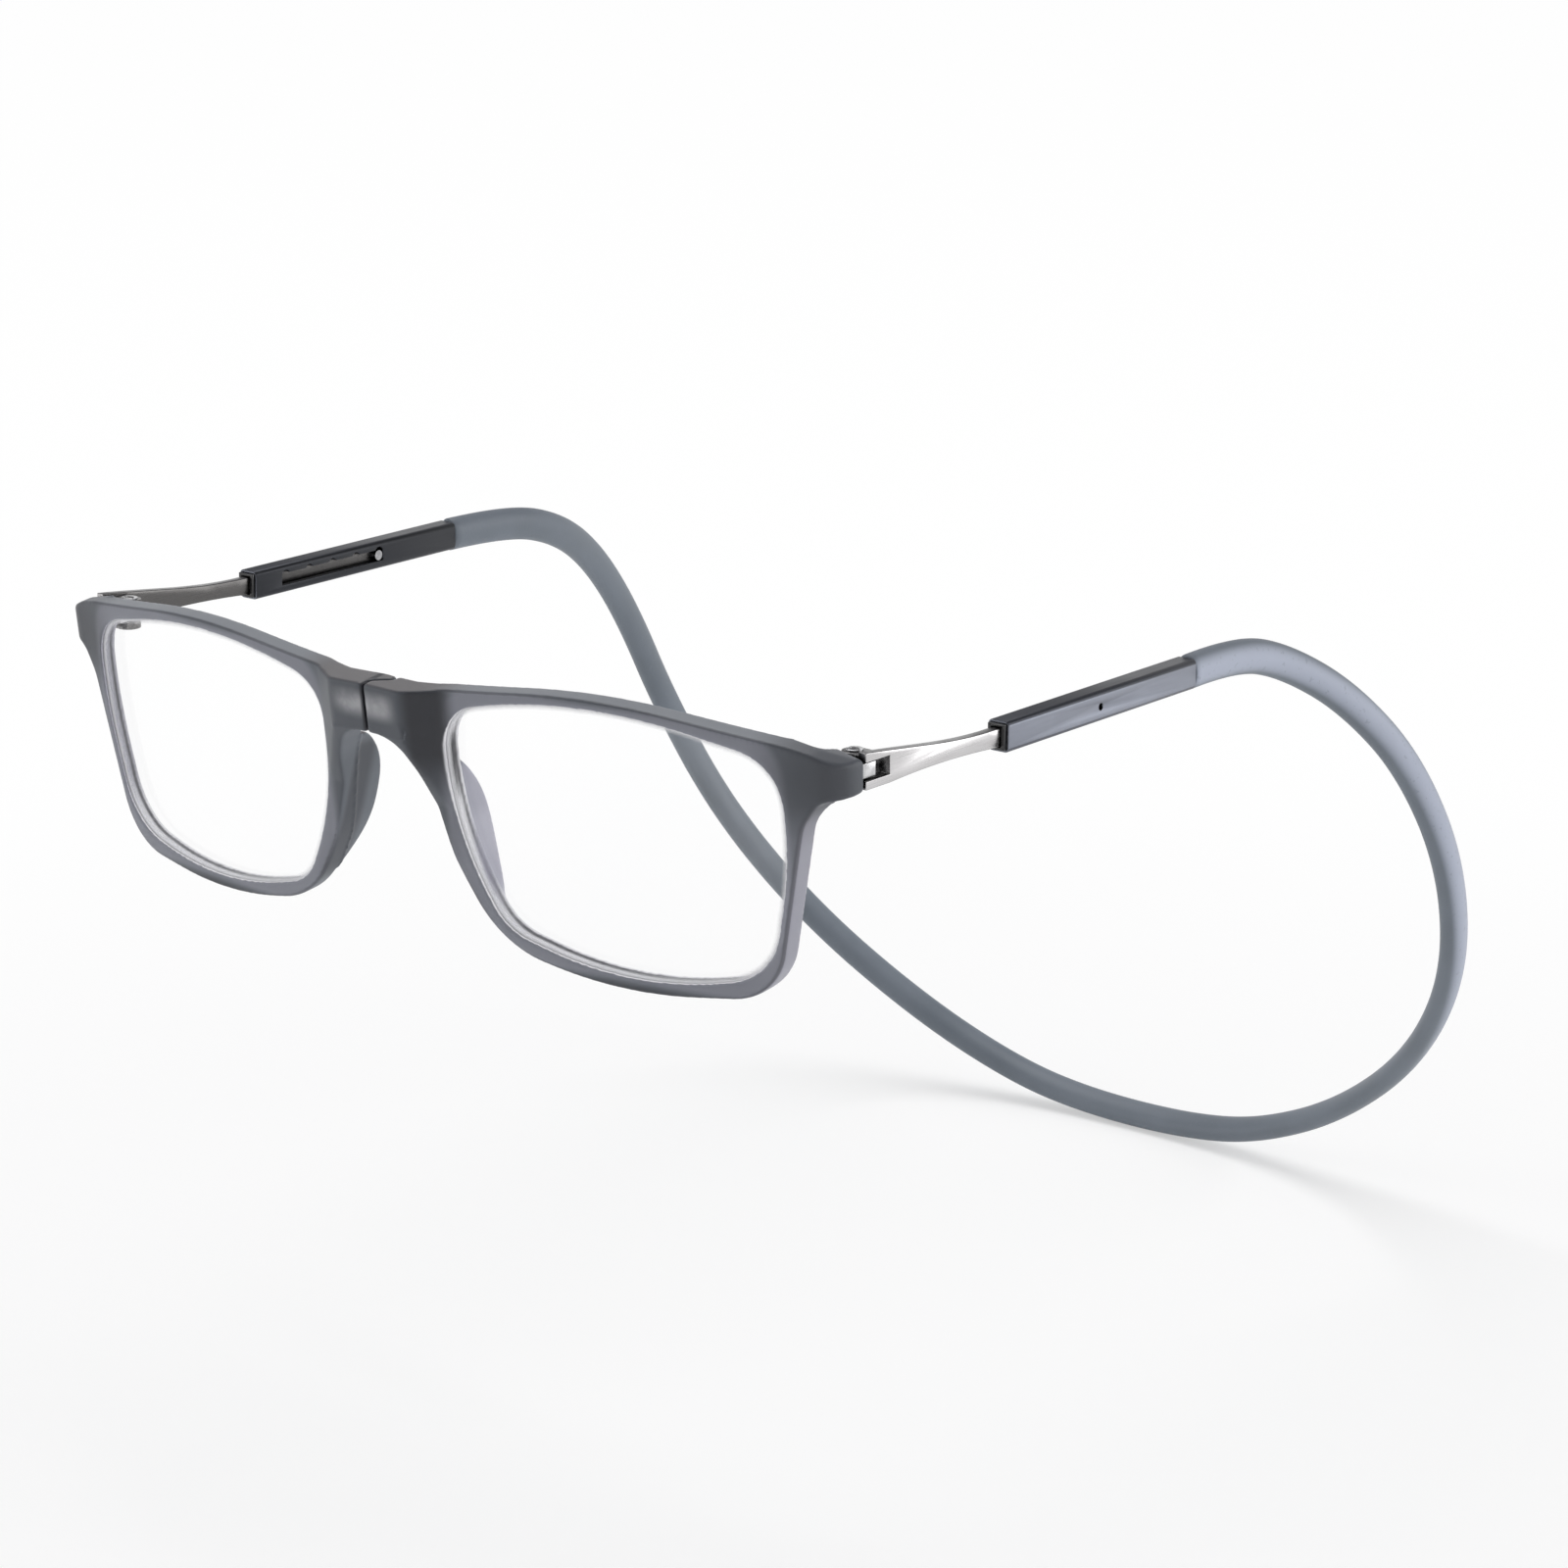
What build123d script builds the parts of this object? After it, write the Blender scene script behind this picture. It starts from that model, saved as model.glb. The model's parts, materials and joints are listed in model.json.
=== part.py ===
"""Reading glasses that part at the nose bridge.

Two moulded front halves meet at two magnets, a metal temple bar is hinged to
each half, each bar telescopes in a sleeve, and one moulded neck band joins the
two sleeves behind the head. Millimetres, worn pose: +Z up, the wearer looks
along -Y and the wearer's left is +X. The origin is the middle of the nose gap,
on the front's curved front face.
"""
from build123d import *
import os
from math import cos, radians, sin, sqrt, tan

os.makedirs("parts", exist_ok=True)

# The front, measured square to its own lean
lens_width = 50.3
lens_height = 36.2
lens_spacing = 21.5
lens_centre_z = 1.9
front_lean_angle = 7.2
bow_radius = 253.6
rim_depth = 3.1
endpiece_overhang = 8.25
seam_gap = 0.3
half_width = lens_spacing / 2 + lens_width + endpiece_overhang
lens_centre_x = (lens_spacing + lens_width) / 2

# The temples and the band, in the worn pose
bar_exposed = 26.5
sleeve_length = 42.8
sleeve_width = 3.4
sleeve_height = 4.2
band_height = 5.0
band_thickness = 3.6
band_reach = 89.6
band_drop = 103.1

# Clearances that several pieces share
glue_gap = 0.05
running_gap = 0.1
pivot_gap = 0.03
overrun = 1.0

LEFT, RIGHT = 1, -1
side_names = {LEFT: "left", RIGHT: "right"}
leaned = Rot(X=front_lean_angle)


def on_side(solid, side):
    """The left piece as built, or its mirror image for the right."""
    return solid if side == LEFT else mirror(solid, about=Plane.YZ)


def block(x_range, y_range, z_range):
    """A box between three pairs of limits."""
    sizes = [high - low for low, high in (x_range, y_range, z_range)]
    middles = [(high + low) / 2 for low, high in (x_range, y_range, z_range)]
    return Pos(*middles) * Box(*sizes)


def rod(start, end, radius):
    """A round rod from one point to another."""
    run = Vector(*end) - Vector(*start)
    return Plane(origin=start, z_dir=run) * Cylinder(
        radius, run.length, align=(Align.CENTER, Align.CENTER, Align.MIN))


def bow(x):
    """How far back the front's curved front face lies at x."""
    return bow_radius - sqrt(bow_radius * bow_radius - x * x)


def grown(corners, amount):
    """The same (x, z, corner radius) rows, every edge moved out by amount."""
    rows = []
    for place, (x, z, radius) in enumerate(corners):
        before, after = corners[place - 1], corners[(place + 1) % len(corners)]
        first = Vector(x - before[0], z - before[1]).normalized()
        second = Vector(after[0] - x, after[1] - z).normalized()
        shift = Vector(-first.Y - second.Y, first.X + second.X)
        shift *= amount / (1 + first.dot(second))
        rows.append((x + shift.X, z + shift.Y, radius + amount))
    return rows


def outline_face(corners):
    """A face square to Y from (x, z, corner radius) rows."""
    radii = [radius for _, _, radius in corners]
    wire = FilletPolyline(*[(x, z) for x, z, _ in corners], radius=radii, close=True)
    return make_face(Plane.XZ * wire)


def bowed_plate(face, front_depth, back_depth):
    """A face pushed along Y, kept between two coaxial curved faces."""
    reach = 2 * half_width
    slab = extrude(face, amount=reach, both=True)
    axis = Pos(0, bow_radius, 0)
    shell = axis * Cylinder(bow_radius - front_depth, reach)
    shell -= axis * Cylinder(bow_radius - back_depth, reach + overrun)
    near = block((-reach, reach), (-reach, bow_radius / 2), (-reach, reach))
    return slab & (shell & near)


# Lens opening, as shares of the lens size from its centre, with corner radii
# as shares of its height, from the top nasal corner outwards and round
opening_shares = [
    (-0.495, 0.411, 0.187), (-0.050, 0.554, 2.015), (0.498, 0.381, 0.207),
    (0.510, 0.030, 1.400), (0.440, -0.432, 0.258), (0.036, -0.551, 1.550),
    (-0.356, -0.404, 0.225), (-0.498, -0.030, 1.076)]
opening = [
    (lens_centre_x + x * lens_width, lens_centre_z + z * lens_height, r * lens_height)
    for x, z, r in opening_shares]

# Outer edge of a front half, clockwise from the seam's top. Heights and radii
# are shares of lens_height. Across, the seam and the nasal side are shares of
# lens_spacing, brow and foot of lens_width from the lens's centre, and the
# endpiece of its overhang from the lens's edge.
seam_top_shares = [(0.0, 0.4945, 0.0), (0.442, 0.489, 0.69)]
brow_shares = [(-0.0095, 0.558, 2.638), (0.518, 0.450, 0.400)]
endpiece_shares = [
    (0.515, 0.427, 0.165), (1.42, 0.331, 0.0), (1.42, 0.260, 0.0),
    (0.611, 0.248, 0.067), (0.337, 0.150, 0.181)]
foot_shares = [(0.451, -0.519, 0.246), (-0.001, -0.580, 1.945), (-0.378, -0.472, 0.430)]
nasal_shares = [
    (0.4926, -0.174, 0.690), (0.3256, 0.1657, 0.300),
    (0.203, 0.3025, 0.134), (0.0, 0.3025, 0.0)]
lens_edge_x = lens_centre_x + lens_width / 2
across = [(0, lens_spacing, seam_top_shares), (lens_centre_x, lens_width, brow_shares),
          (lens_edge_x, endpiece_overhang, endpiece_shares),
          (lens_centre_x, lens_width, foot_shares), (0, lens_spacing, nasal_shares)]
outer = [
    (start + x * span, lens_centre_z + z * lens_height, r * lens_height)
    for start, span, shares in across for x, z, r in shares]

# Bridge block and endpiece, seen from above
bridge_bulge = 2.8
bridge_back = 1.9
bridge_flat_share = 0.279
bridge_ramp_share = 0.512
chin_top_share = 0.3025
chin_foot_share = 0.041
endpiece_width = 4.5
endpiece_length = 3.05
endpiece_trim = 3.3
endpiece_turn = 6.3
endpiece_outer_radius = 4.5
endpiece_inner_radius = 1.6
bridge_flat = bridge_flat_share * lens_spacing
bridge_ramp_end = bridge_ramp_share * lens_spacing
chin_top_z = lens_centre_z + chin_top_share * lens_height
chin_foot_z = lens_centre_z + chin_foot_share * lens_height
endpiece_inner_x = half_width - endpiece_width
endpiece_face_y = bow(half_width) + endpiece_length
endpiece_plan_end_y = endpiece_face_y + endpiece_trim
bow_end_x = half_width - endpiece_turn

# Stepped seam: the right half's lip lies behind the left half's block
lip_reach = 2.4
step_front_depth = 1.78
step_run = 1.63
step_front_y = step_front_depth - bridge_bulge
step_back_y = step_front_y + step_run

# Magnets, glued in blind bores at the seam, each behind a thin cap
magnet_radius = 1.6
magnet_length = 2.8
magnet_wall = 0.75
magnet_rise_share = 0.406
magnet_y = magnet_radius + magnet_wall - bridge_bulge
magnet_z = lens_centre_z + magnet_rise_share * lens_height
cap_thickness = 0.5

# Lens edge, held in a groove of the rim
lens_thickness = 1.8
lens_front_depth = 0.6
groove_depth = 0.55

# Nose pad, a fin that carries the nasal edge of the rim on rearward, between
# two heights given as shares of the lens's height
pad_reach = 4.8
pad_thickness = 1.5
pad_root_depth = 1.0
pad_splay_angle = 1.0
pad_crest_share = 0.38
pad_top_share = 0.225
pad_foot_share = -0.380

# Slope that takes the endpiece's top down to the ears, from its height at the
# endpiece's inner back corner
crown_rise = 0.9
crown_fall_across = 0.211
crown_fall_back = 0.188

# Hinge: a leaf in the endpiece turns on a screw in the bar's two ears
hinge_inset = 4.0
hinge_setback = 3.1
hinge_rise_share = 0.3688
hinge_drop = 2.35
ear_rise = 1.75
lower_ear_height = 1.25
upper_ear_height = 0.65
ear_radius = 1.7
ear_web = 1.6
barrel_radius = 1.5
screw_radius = 0.7
screw_head_radius = 1.15
screw_head_height = 0.25
screw_slot_width = 0.35
screw_slot_depth = 0.2
leaf_inset = 0.6
tongue_offset = 0.8
tongue_thickness = 1.6
tongue_depth = 3.5
anchor_radius = 0.65
anchor_inset = 1.8
anchor_cover = 0.55
hinge_x = half_width - hinge_inset
hinge_y = endpiece_face_y + hinge_setback
hinge_z = lens_centre_z + hinge_rise_share * lens_height
hinge_low_z = hinge_z - hinge_drop
ear_high_z = hinge_z + ear_rise
leaf_low_z = hinge_low_z + lower_ear_height + running_gap
leaf_high_z = ear_high_z - upper_ear_height - running_gap
leaf_outer_x = half_width - leaf_inset
leaf_front_y = endpiece_face_y + glue_gap
tongue_inner_x = hinge_x + tongue_offset
tongue_outer_x = tongue_inner_x + tongue_thickness
tongue_front_y = endpiece_face_y - tongue_depth
anchor_y = endpiece_face_y - anchor_inset

# Temple bar, up to the sleeve that its tail runs in
bar_front_gap = 0.5
bar_inset = 0.1
bar_rise = 2.5
bar_thickness = 1.4
bar_height = 2.5
bar_end_gap = 1.2
bar_straight_lead = 1.3
bar_waist_share = 0.5
bar_waist_rise = 0.25
fork_thickness = 1.3
window_reach = 2.3
window_margin = 0.2
heel_thickness = 1.1
heel_reach = 2.6
sleeve_inset = 1.1
sleeve_drop = 1.45
bar_front_y = endpiece_face_y + bar_front_gap
bar_outer_x = half_width - bar_inset
bar_top_z = hinge_z + bar_rise
window_end_y = hinge_y + window_reach
sleeve_x = half_width - sleeve_inset
sleeve_z = hinge_z - sleeve_drop
sleeve_front_y = hinge_y + bar_exposed
sleeve_end_y = sleeve_front_y + sleeve_length
bar_straight_y = sleeve_front_y - bar_straight_lead

# Plug that carries the band's end
plug_radius = 1.05
plug_in_sleeve = 8.6
plug_in_band = 8.0
plug_barb = 0.15
plug_barb_length = 1.2

# Inside the sleeve
bush_length = 5.0
bush_collar = 0.6
bush_inset = 0.35
sleeve_wall = 0.45
sleeve_edge_radius = 0.7
socket_wall = 4.1
channel_end_y = sleeve_end_y - plug_in_sleeve - socket_wall
bar_end_y = channel_end_y - bar_end_gap
bush_end_y = sleeve_front_y + bush_length

# Ratchet slot in the sleeve's inner wall and the stud that runs in it, from
# rest, with the bar pushed home, to just behind the bush
notch_steps = 4
stud_inset = 2.9
stud_radius = 0.75
stud_recess = 0.15
notch_rise = 0.45
slot_front_margin = 1.2
viewing_hole_radius = 0.45
viewing_hole_share = 0.479
stud_y = bar_end_y - stud_inset
slide_travel = stud_y - bush_end_y - slot_front_margin
viewing_hole_y = sleeve_front_y + viewing_hole_share * sleeve_length
print("slide travel", round(slide_travel, 3), "hinge at", [
    round(place, 4) for place in (hinge_x, hinge_y, hinge_z)])

# Flat spring in a pocket of the channel's floor
spring_length_share = 0.7
spring_width = 1.1
spring_thickness = 0.2
spring_pocket = 0.32
spring_inset = 1.7
spring_length = spring_length_share * slide_travel
spring_front_y = bush_end_y + spring_inset

# Centre line of the band's left half, from the sleeve's end to the nape, as
# shares of sleeve_x across, of band_reach rearwards and of band_drop up
band_shares = [
    (1.0, 0.0, 0.0), (0.990, 0.143, 0.001), (0.993, 0.277, -0.031),
    (1.040, 0.411, -0.101), (1.088, 0.545, -0.217), (1.106, 0.665, -0.386),
    (1.040, 0.775, -0.580), (0.868, 0.873, -0.754), (0.616, 0.950, -0.892),
    (0.358, 0.989, -0.974), (0.141, 1.0, -1.0), (0.0, 1.0, -1.0)]
band_start_y = sleeve_end_y + running_gap
band_points = [
    (x * sleeve_x, band_start_y + y * band_reach, sleeve_z + z * band_drop)
    for x, y, z in band_shares]
arc_share = 0.45


def front_plan():
    """The half seen from above: bridge block, bowed rim and wrapped endpiece."""
    back_radius = bow_radius - rim_depth

    def back(x):
        return bow_radius - sqrt(back_radius * back_radius - x * x)

    mid_x = (bridge_ramp_end + bow_end_x) / 2
    corner_y = bow(half_width)
    inner_y = back(endpiece_inner_x)
    edges = [
        Line((0, -bridge_bulge), (bridge_flat, -bridge_bulge)),
        Line((bridge_flat, -bridge_bulge), (bridge_ramp_end, bow(bridge_ramp_end))),
        ThreePointArc(
            (bridge_ramp_end, bow(bridge_ramp_end)), (mid_x, bow(mid_x)),
            (bow_end_x, bow(bow_end_x))),
        Line((bow_end_x, bow(bow_end_x)), (half_width, corner_y)),
        Line((half_width, corner_y), (half_width, endpiece_plan_end_y)),
        Line((half_width, endpiece_plan_end_y), (endpiece_inner_x, endpiece_plan_end_y)),
        Line((endpiece_inner_x, endpiece_plan_end_y), (endpiece_inner_x, inner_y)),
        ThreePointArc(
            (endpiece_inner_x, inner_y), (mid_x, back(mid_x)),
            (bridge_ramp_end, back(bridge_ramp_end))),
        Line((bridge_ramp_end, back(bridge_ramp_end)), (bridge_flat, bridge_back)),
        Line((bridge_flat, bridge_back), (0, bridge_back)),
        Line((0, bridge_back), (0, -bridge_bulge))]
    face = make_face(edges)
    rounds = (
        (half_width, corner_y, endpiece_outer_radius),
        (endpiece_inner_x, inner_y, endpiece_inner_radius),
        (bridge_flat, -bridge_bulge, bridge_bulge),
        (bridge_ramp_end, bow(bridge_ramp_end), bridge_bulge))
    for x, y, radius in rounds:
        corner = face.vertices().sort_by_distance((x, y, 0))[0]
        face = fillet(corner, radius)
    return face


def chin_space():
    """The space before the nasal rims, under the bridge block's sloping chin."""
    reach = 2 * half_width
    back_y = bow(bridge_flat + pad_thickness)
    corners = [
        (-bridge_bulge, chin_top_z), (back_y, chin_foot_z), (back_y, -reach),
        (-reach, -reach), (-reach, chin_top_z)]
    face = make_face(Plane.YZ * Polyline(*corners, close=True))
    return extrude(face, amount=bridge_ramp_end, both=True)


def nose_pad():
    """The fin behind the nasal rim, seen from the side as one shallow arc."""
    top_z, foot_z = [lens_centre_z + share * lens_height for share in (
        pad_top_share, pad_foot_share)]
    inner_edge = outline_face(outer)
    strip = inner_edge - Pos(pad_thickness, 0, 0) * inner_edge
    strip &= Plane.XZ * Rectangle(lens_centre_x, half_width, align=(Align.MIN, Align.CENTER))
    splay = radians(pad_splay_angle)
    fin = extrude(strip, amount=half_width, dir=(sin(splay), cos(splay), 0))
    crest = (rim_depth + pad_reach, top_z - pad_crest_share * (top_z - foot_z))
    edges = [
        TangentArc(crest, (rim_depth, top_z), tangent=(0, 1)),
        TangentArc(crest, (rim_depth, foot_z), tangent=(0, -1)),
        Line((rim_depth, top_z), (pad_root_depth, top_z)),
        Line((pad_root_depth, top_z), (pad_root_depth, foot_z)),
        Line((pad_root_depth, foot_z), (rim_depth, foot_z))]
    profile = make_face([Plane.YZ * edge for edge in edges])
    return fin & extrude(profile, amount=half_width, both=True)


def crown():
    """The space above the endpiece's top, which slopes outwards and rearward."""
    corner = (endpiece_inner_x, endpiece_face_y, ear_high_z + crown_rise)
    slope = Plane(origin=corner, z_dir=(crown_fall_across, crown_fall_back, 1))
    side = 2 * half_width
    return slope * Box(side, side, side, align=(Align.CENTER, Align.CENTER, Align.MIN))


def seam_side(side):
    """All the space on one side of the stepped seam, less half of its gap."""
    reach = side * 2 * half_width
    shift = side * seam_gap / 2
    corners = [
        (shift, -2 * half_width), (shift, step_front_y), (shift + lip_reach, step_back_y),
        (shift + lip_reach, 2 * half_width), (reach, 2 * half_width), (reach, -2 * half_width)]
    return extrude(make_face(Polyline(*corners, close=True)), amount=2 * half_width, both=True)


def magnet_start(side):
    """Where the magnet begins, behind the deepest point of its half's seam."""
    seam_reach = lip_reach if side == LEFT else 0
    return seam_reach + seam_gap / 2 + cap_thickness


def front_rim(side):
    """One moulded front half: rim, bridge half, endpiece and nose pad."""
    reach = 2 * half_width
    plan = extrude(front_plan(), amount=reach, both=True)
    body = plan & extrude(outline_face(outer), amount=reach, both=True)
    body -= extrude(outline_face(opening), amount=reach, both=True)
    body -= chin_space()
    body += nose_pad()
    body -= bowed_plate(
        outline_face(grown(opening, groove_depth + glue_gap)),
        lens_front_depth - glue_gap, lens_front_depth + lens_thickness + glue_gap)
    body = leaned * body
    body -= block((bow_end_x, reach), (endpiece_face_y, reach), (0, reach))
    body -= crown()
    body -= block(
        (tongue_inner_x - glue_gap, tongue_outer_x + glue_gap),
        (tongue_front_y - glue_gap, leaf_front_y + overrun + overrun),
        (leaf_low_z - glue_gap, leaf_high_z + glue_gap))
    body -= anchor(glue_gap)
    if side == RIGHT:
        solid = mirror(body, about=Plane.YZ)
        solid += body & block((-overrun, lip_reach), (-reach, reach), (0, reach))
    else:
        solid = body
    solid &= leaned * seam_side(side)
    bore_end = side * (magnet_start(side) + magnet_length)
    bore_mouth = -side * (lip_reach + overrun)
    return solid - leaned * rod(
        (bore_mouth, magnet_y, magnet_z), (bore_end, magnet_y, magnet_z),
        magnet_radius + glue_gap)


def lens():
    """The bowed reading lens, its edge in the rim's groove."""
    return leaned * bowed_plate(
        outline_face(grown(opening, groove_depth)), lens_front_depth,
        lens_front_depth + lens_thickness)


def magnet(side):
    """A round bar magnet along X, at the bottom of its bore."""
    start = magnet_start(side)
    return leaned * rod(
        (side * start, magnet_y, magnet_z),
        (side * (start + magnet_length), magnet_y, magnet_z), magnet_radius)


def magnet_cap(side):
    """The plug that closes the magnet's bore, flush with the stepped seam."""
    start = side * magnet_start(side)
    far_end = -side * (lip_reach + overrun)
    cap = rod((start, magnet_y, magnet_z), (far_end, magnet_y, magnet_z), magnet_radius)
    return leaned * (cap & seam_side(side))


def anchor(grow=0):
    """The cross pin through the leaf's tongue, hidden in the endpiece."""
    middle_z = (leaf_low_z + leaf_high_z) / 2
    return rod(
        (endpiece_inner_x + anchor_cover - grow, anchor_y, middle_z),
        (half_width - anchor_cover + grow, anchor_y, middle_z),
        anchor_radius + grow)


def hinge_leaf():
    """The metal leaf: barrel, outward block seen in the fork, buried tongue."""
    inner_x = hinge_x - barrel_radius
    z_range = (leaf_low_z, leaf_high_z)
    leaf = rod((hinge_x, hinge_y, leaf_low_z), (hinge_x, hinge_y, leaf_high_z), barrel_radius)
    leaf += block((inner_x, leaf_outer_x), (leaf_front_y, hinge_y), z_range)
    leaf += block((tongue_inner_x, tongue_outer_x), (tongue_front_y, hinge_y), z_range)
    leaf -= rod(
        (hinge_x, hinge_y, leaf_low_z - overrun), (hinge_x, hinge_y, leaf_high_z + overrun),
        screw_radius + pivot_gap)
    return leaf - anchor(glue_gap)


def hinge_screw():
    """The hinge's pivot screw, its slotted head on the top ear."""
    head_top = ear_high_z + screw_head_height
    foot, shoulder, crown = [
        (hinge_x, hinge_y, z) for z in (hinge_low_z, ear_high_z, head_top)]
    screw = rod(foot, shoulder, screw_radius) + rod(shoulder, crown, screw_head_radius)
    head_reach = screw_head_radius + overrun
    return screw - block(
        (hinge_x - head_reach, hinge_x + head_reach),
        (hinge_y - screw_slot_width / 2, hinge_y + screw_slot_width / 2),
        (head_top - screw_slot_depth, head_top + overrun))


def temple_bar():
    """The tapered metal bar: two ears, a fork with a heel behind it, a flat tail."""
    tail_low = sleeve_z - bar_height / 2
    tail_high = sleeve_z + bar_height / 2
    waist_y = bar_front_y + bar_waist_share * (bar_straight_y - bar_front_y)
    tail_inner = sleeve_x - bar_thickness / 2
    tail_outer = sleeve_x + bar_thickness / 2
    top_slope = (tail_high - bar_top_z) / (bar_straight_y - bar_front_y)
    top_edge = Spline(
        (bar_front_y, bar_top_z), (bar_straight_y, tail_high),
        tangents=((1, top_slope), (1, 0)))
    tail = Polyline(
        (bar_straight_y, tail_high), (bar_end_y, tail_high), (bar_end_y, tail_low),
        (bar_straight_y, tail_low))
    under_edge = Spline(
        (bar_straight_y, tail_low), (waist_y, hinge_low_z + bar_waist_rise),
        (window_end_y, hinge_low_z))
    front = Polyline(
        (window_end_y, hinge_low_z), (bar_front_y, hinge_low_z), (bar_front_y, bar_top_z))
    profile = make_face([Plane.YZ * edge for edge in (top_edge, tail, under_edge, front)])
    plan = make_face(Polyline(
        (bar_outer_x, bar_front_y), (bar_outer_x, window_end_y), (tail_outer, bar_straight_y),
        (tail_outer, bar_end_y), (tail_inner, bar_end_y), (tail_inner, bar_straight_y),
        (bar_outer_x - fork_thickness, window_end_y), (bar_outer_x - fork_thickness, bar_front_y),
        close=True))
    reach = 2 * half_width
    bar = extrude(profile, amount=reach, both=True) & extrude(plan, amount=reach, both=True)
    web_y = (hinge_y - ear_web, hinge_y + ear_web)
    lower_ear = (hinge_low_z, leaf_low_z - running_gap)
    upper_ear = (leaf_high_z + running_gap, ear_high_z)
    for low, high in (lower_ear, upper_ear):
        ear = rod((hinge_x, hinge_y, low), (hinge_x, hinge_y, high), ear_radius)
        ear += block((hinge_x, bar_outer_x - fork_thickness / 2), web_y, (low, high))
        bar += ear
    bar += block(
        (bar_outer_x - heel_reach, bar_outer_x - fork_thickness / 2),
        (window_end_y, window_end_y + heel_thickness), (hinge_low_z, leaf_high_z + window_margin))
    bar -= block(
        (hinge_x - ear_radius - overrun, bar_outer_x + overrun),
        (bar_front_y - overrun, window_end_y),
        (leaf_low_z - window_margin, leaf_high_z + window_margin))
    bar -= rod(
        (hinge_x, hinge_y, hinge_low_z - overrun), (hinge_x, hinge_y, ear_high_z + overrun),
        screw_radius)
    return bar


def detent_stud():
    """The stud on the bar's tail that clicks from notch to notch."""
    inner_face = sleeve_x - sleeve_width / 2
    return rod(
        (sleeve_x - bar_thickness / 2, stud_y, sleeve_z),
        (inner_face + stud_recess, stud_y, sleeve_z), stud_radius)


def sleeve():
    """The outer tube: bar channel, ratchet slot, bush seat and plug socket."""
    tube = block(
        (sleeve_x - sleeve_width / 2, sleeve_x + sleeve_width / 2),
        (sleeve_front_y, sleeve_end_y),
        (sleeve_z - sleeve_height / 2, sleeve_z + sleeve_height / 2))
    tube = fillet(tube.edges().filter_by(Axis.Y), sleeve_edge_radius)
    half_x = bar_thickness / 2 + running_gap
    half_z = bar_height / 2 + running_gap
    tube -= block(
        (sleeve_x - half_x, sleeve_x + half_x), (sleeve_front_y - overrun, channel_end_y),
        (sleeve_z - half_z, sleeve_z + half_z))
    tube -= bush_block(glue_gap, sleeve_front_y - overrun, bush_end_y)
    slot_half = stud_radius + running_gap
    inner_x = (sleeve_x - sleeve_width / 2 - overrun, sleeve_x)
    tube -= block(
        inner_x, (stud_y - slide_travel - slot_half, stud_y + slot_half),
        (sleeve_z - slot_half, sleeve_z + slot_half))
    for step in range(notch_steps + 1):
        y = stud_y - step * slide_travel / notch_steps
        notch_z = sleeve_z + notch_rise
        tube -= rod((inner_x[0], y, notch_z), (inner_x[1], y, notch_z), slot_half)
    tube -= rod(
        (sleeve_x, viewing_hole_y, sleeve_z),
        (sleeve_x + sleeve_width, viewing_hole_y, sleeve_z), viewing_hole_radius)
    tube -= block(
        (sleeve_x - spring_width / 2 - glue_gap, sleeve_x + spring_width / 2 + glue_gap),
        (spring_front_y - running_gap, spring_front_y + spring_length + running_gap),
        (sleeve_z - half_z - spring_pocket, sleeve_z))
    tube -= rod(
        (sleeve_x, sleeve_end_y - plug_in_sleeve, sleeve_z),
        (sleeve_x, sleeve_end_y + overrun, sleeve_z), plug_radius + glue_gap)
    return tube


def bush_block(grow, front_y, back_y):
    """The bush's outer block, grown all round for its seat."""
    half_x = sleeve_width / 2 - sleeve_wall + grow
    half_z = sleeve_height / 2 - sleeve_wall + grow
    return block(
        (sleeve_x - half_x, sleeve_x + half_x), (front_y, back_y),
        (sleeve_z - half_z, sleeve_z + half_z))


def sleeve_bush():
    """The black plastic mouth that guides the bar, with a small collar."""
    bush = bush_block(0, sleeve_front_y - bush_collar, bush_end_y - glue_gap)
    bush += block(
        (sleeve_x - sleeve_width / 2 + bush_inset, sleeve_x + sleeve_width / 2 - bush_inset),
        (sleeve_front_y - bush_collar, sleeve_front_y - glue_gap),
        (sleeve_z - sleeve_height / 2 + bush_inset, sleeve_z + sleeve_height / 2 - bush_inset))
    half_x = bar_thickness / 2 + running_gap
    half_z = bar_height / 2 + running_gap
    return bush - block(
        (sleeve_x - half_x, sleeve_x + half_x),
        (sleeve_front_y - bush_collar - overrun, bush_end_y),
        (sleeve_z - half_z, sleeve_z + half_z))


def detent_spring():
    """The flat spring under the bar that lifts the stud into its notch."""
    low = sleeve_z - bar_height / 2 - running_gap - spring_pocket + glue_gap
    return block(
        (sleeve_x - spring_width / 2, sleeve_x + spring_width / 2),
        (spring_front_y, spring_front_y + spring_length), (low, low + spring_thickness))


def band_plug():
    """The barbed plug glued in the sleeve, pushed into the band's end."""
    tip_y = sleeve_end_y + plug_in_band
    plug = rod(
        (sleeve_x, sleeve_end_y - plug_in_sleeve + glue_gap, sleeve_z),
        (sleeve_x, tip_y, sleeve_z),
        plug_radius)
    for back_y in (tip_y, tip_y - 2 * plug_barb_length):
        plug += rod(
            (sleeve_x, back_y - plug_barb_length, sleeve_z), (sleeve_x, back_y, sleeve_z),
            plug_radius + plug_barb)
    return plug


def arc_radii(points):
    """The largest tangent arc at each corner of a run of points."""
    radii = []
    for before, here, after in zip(points, points[1:], points[2:]):
        first = Vector(*here) - Vector(*before)
        second = Vector(*after) - Vector(*here)
        half_turn = radians(first.get_angle(second)) / 2
        radii.append(arc_share * min(first.length, second.length) / tan(half_turn))
    return radii


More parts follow.
